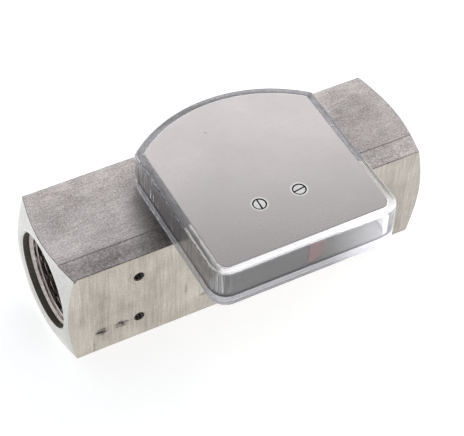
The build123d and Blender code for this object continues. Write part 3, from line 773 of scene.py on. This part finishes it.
def clear_plastic(name, clearness, dull, glow=0.0):
    """Clear plastic with a little haze, slow ripples and streaks, and painted light: a glow, stronger
    towards the front right corner.
    """
    material = bpy.data.materials.new(name)
    material.use_nodes = True
    finish = Finish(material.node_tree)
    shader = material.node_tree.nodes["Principled BSDF"]
    shader.inputs["Base Color"].default_value = (0.95, 0.95, 0.975, 1)
    shader.inputs["Metallic"].default_value = 0.0
    shader.inputs["Transmission Weight"].default_value = clearness
    shader.inputs["IOR"].default_value = 1.5
    shader.inputs["Emission Strength"].default_value = 1.0
    here = finish.add("ShaderNodeTexCoord").outputs["Object"]
    place = finish.add("ShaderNodeSeparateXYZ", {0: here}).outputs
    # Painted light: a glow that grows towards the front right corner.
    corner = finish.math("MULTIPLY", finish.span(place["X"], *CORNER_X),
                         finish.span(place["Y"], *CORNER_Y))
    finish.feed(shader.inputs["Emission Color"],
                finish.blend(corner, PAINTED_GLOW_TINT * glow, PAINTED_GLOW_TINT * (glow + PAINTED_CORNER_GLOW)))
    haze = finish.add("ShaderNodeTexNoise", {"Vector": here, "Scale": 60.0, "Detail": 3.0}).outputs[0]
    finish.feed(shader.inputs["Roughness"], finish.span(haze, 0.3, 0.7, dull, dull + 0.08))
    flat = finish.vector("MULTIPLY", here, (1, 1, 0.02))
    ripple = finish.add("ShaderNodeTexNoise", {"Vector": here, "Scale": 140.0, "Detail": 1.0}).outputs[0]
    height = finish.math("MULTIPLY", ripple, 0.08)
    for middle, reach, full, fineness, depth in FLOW_STREAKS:
        near = finish.span(finish.vector("DISTANCE", flat, middle), reach, full)
        drawn = finish.add("ShaderNodeTexNoise", {
            "Vector": flat, "Scale": fineness, "Detail": 2.0}).outputs[0]
        streaks = finish.math("MULTIPLY", near, finish.span(drawn, 0.35, 0.65, -0.5, 0.5))
        height = finish.math("ADD", height, finish.math("MULTIPLY", streaks, depth))
    relief = finish.add("ShaderNodeBump", {"Strength": 0.5, "Distance": 0.0003, "Height": height})
    finish.feed(shader.inputs["Normal"], relief.outputs[0])
    path = finish.add("ShaderNodeLightPath").outputs
    clear = finish.add("ShaderNodeBsdfTransparent", {"Color": (0.93, 0.94, 0.95)})
    mix = finish.add("ShaderNodeMixShader", {
        0: path["Is Shadow Ray"], 1: shader.outputs[0], 2: clear.outputs[0]})
    finish.feed(material.node_tree.nodes["Material Output"].inputs["Surface"], mix.outputs[0])
    return material


WHITE_SILICONE = moulded("white_silicone", (0.74, 0.75, 0.77), (0.84, 0.85, 0.87), 0.5)
dress(clear_plastic("clear_polycarbonate", 0.97, 0.1), "cover_ring")
ring = nodes["cover_ring"].data
# Painted light: both rims glow a little, the front rim most.
ring.materials.append(clear_plastic("pale_rim_polycarbonate", 0.9, 0.1, glow=0.085))
ring.materials.append(clear_plastic("bright_rim_polycarbonate", 0.9, 0.08, glow=0.3))
for face in ring.polygons:
    face.material_index = WALL
    if face.center.z > RIM_LOW_Z:
        if face.center.y < FRONT_RIM_Y and face.normal.z > 0.5:
            face.material_index = BRIGHT_RIM
        elif face.center.y >= FRONT_RIM_Y and face.normal.z > 0.9:
            face.material_index = PALE_RIM
dress(WHITE_SILICONE, "upper_gasket")


# Top plate: satin aluminium with a fine even grain, held by two slotted steel screws
# that sit in round recesses. Round each recess a bright ring is painted on as a highlight,
# and the recess, the gap at the head's edge and the slot are painted dark as shade.
PLATE_SCREWS = ("left_plate_screw", "right_plate_screw")
SLOT_SHADE_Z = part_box("left_plate_screw")[1].z - 0.09 * MM
HEAD_EDGE_START = 2.8
HEAD_EDGE_END = 3.4
GAP_END = 3.6
HALO_END = 4.7
PAINTED_GAP_SHADE = (0.02, 0.02, 0.02)
PAINTED_HIGHLIGHT_RING = (0.97, 0.96, 0.96)
SATIN_ALUMINIUM = metal("satin_aluminium_top", (0.572, 0.538, 0.533), (0.668, 0.63, 0.625), 0.28,
                        spread=0.03, fineness=2200.0, stretch=0.6, patch=18.0, grain=2500.0,
                        speckle=0.3, marks=0.25, bump=0.03, soil_and_shade=(0.03, 0.03, 0.03),
                        smudges_and_shade=[(-6.0, 9.7, 82.5, 0.8, 0.8, 0.8, 0.7, 1.0)])
# The slot in each head is painted dark below SLOT_SHADE_Z, as shade.
SCREW_STEEL = metal("bright_screw_steel", (0.78, 0.78, 0.78), (0.98, 0.98, 0.98), 0.45,
                    fineness=1800.0, stretch=0.4, soil_and_shade=(0.03, 0.03, 0.03), sunk_below=SLOT_SHADE_Z)


def screw_axis(node_name):
    """Where a plate screw stands, from the box of its node."""
    low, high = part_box(node_name)
    return Vector(((low.x + high.x) / 2, (low.y + high.y) / 2, 0))


def ring_round(material, place, inner, outer, fade, tone):
    """A ring of another tone round one of the screws, between two radii in millimetres."""
    finish = Finish(material.node_tree)
    colour = material.node_tree.nodes["Principled BSDF"].inputs["Base Color"]
    before = colour.links[0].from_socket
    here = finish.add("ShaderNodeTexCoord").outputs["Object"]
    away = finish.vector("SUBTRACT", here, place)
    reach = finish.vector("LENGTH", finish.vector("MULTIPLY", away, (1, 1, 0)))
    inside = finish.span(reach, inner * MM, (inner + 0.1) * MM)
    band = finish.math("MULTIPLY", inside, finish.span(reach, outer * MM, (outer - fade) * MM))
    finish.feed(colour, finish.blend(band, before, tone))


for screw in PLATE_SCREWS:
    place = screw_axis(screw)
    # Painted highlight: a bright ring round the recess.
    ring_round(SATIN_ALUMINIUM, place, GAP_END, HALO_END, 1.0, PAINTED_HIGHLIGHT_RING)
    # Painted shade: the recess dark.
    ring_round(SATIN_ALUMINIUM, place, 0.0, GAP_END, 0.1, PAINTED_GAP_SHADE)
    head = SCREW_STEEL.copy()
    # Painted shade: a dark ring at the head's edge, in the gap round it.
    ring_round(head, place, HEAD_EDGE_START, HEAD_EDGE_END, 0.05, PAINTED_GAP_SHADE)
    dress(head, screw)
dress(SATIN_ALUMINIUM, "top_plate")
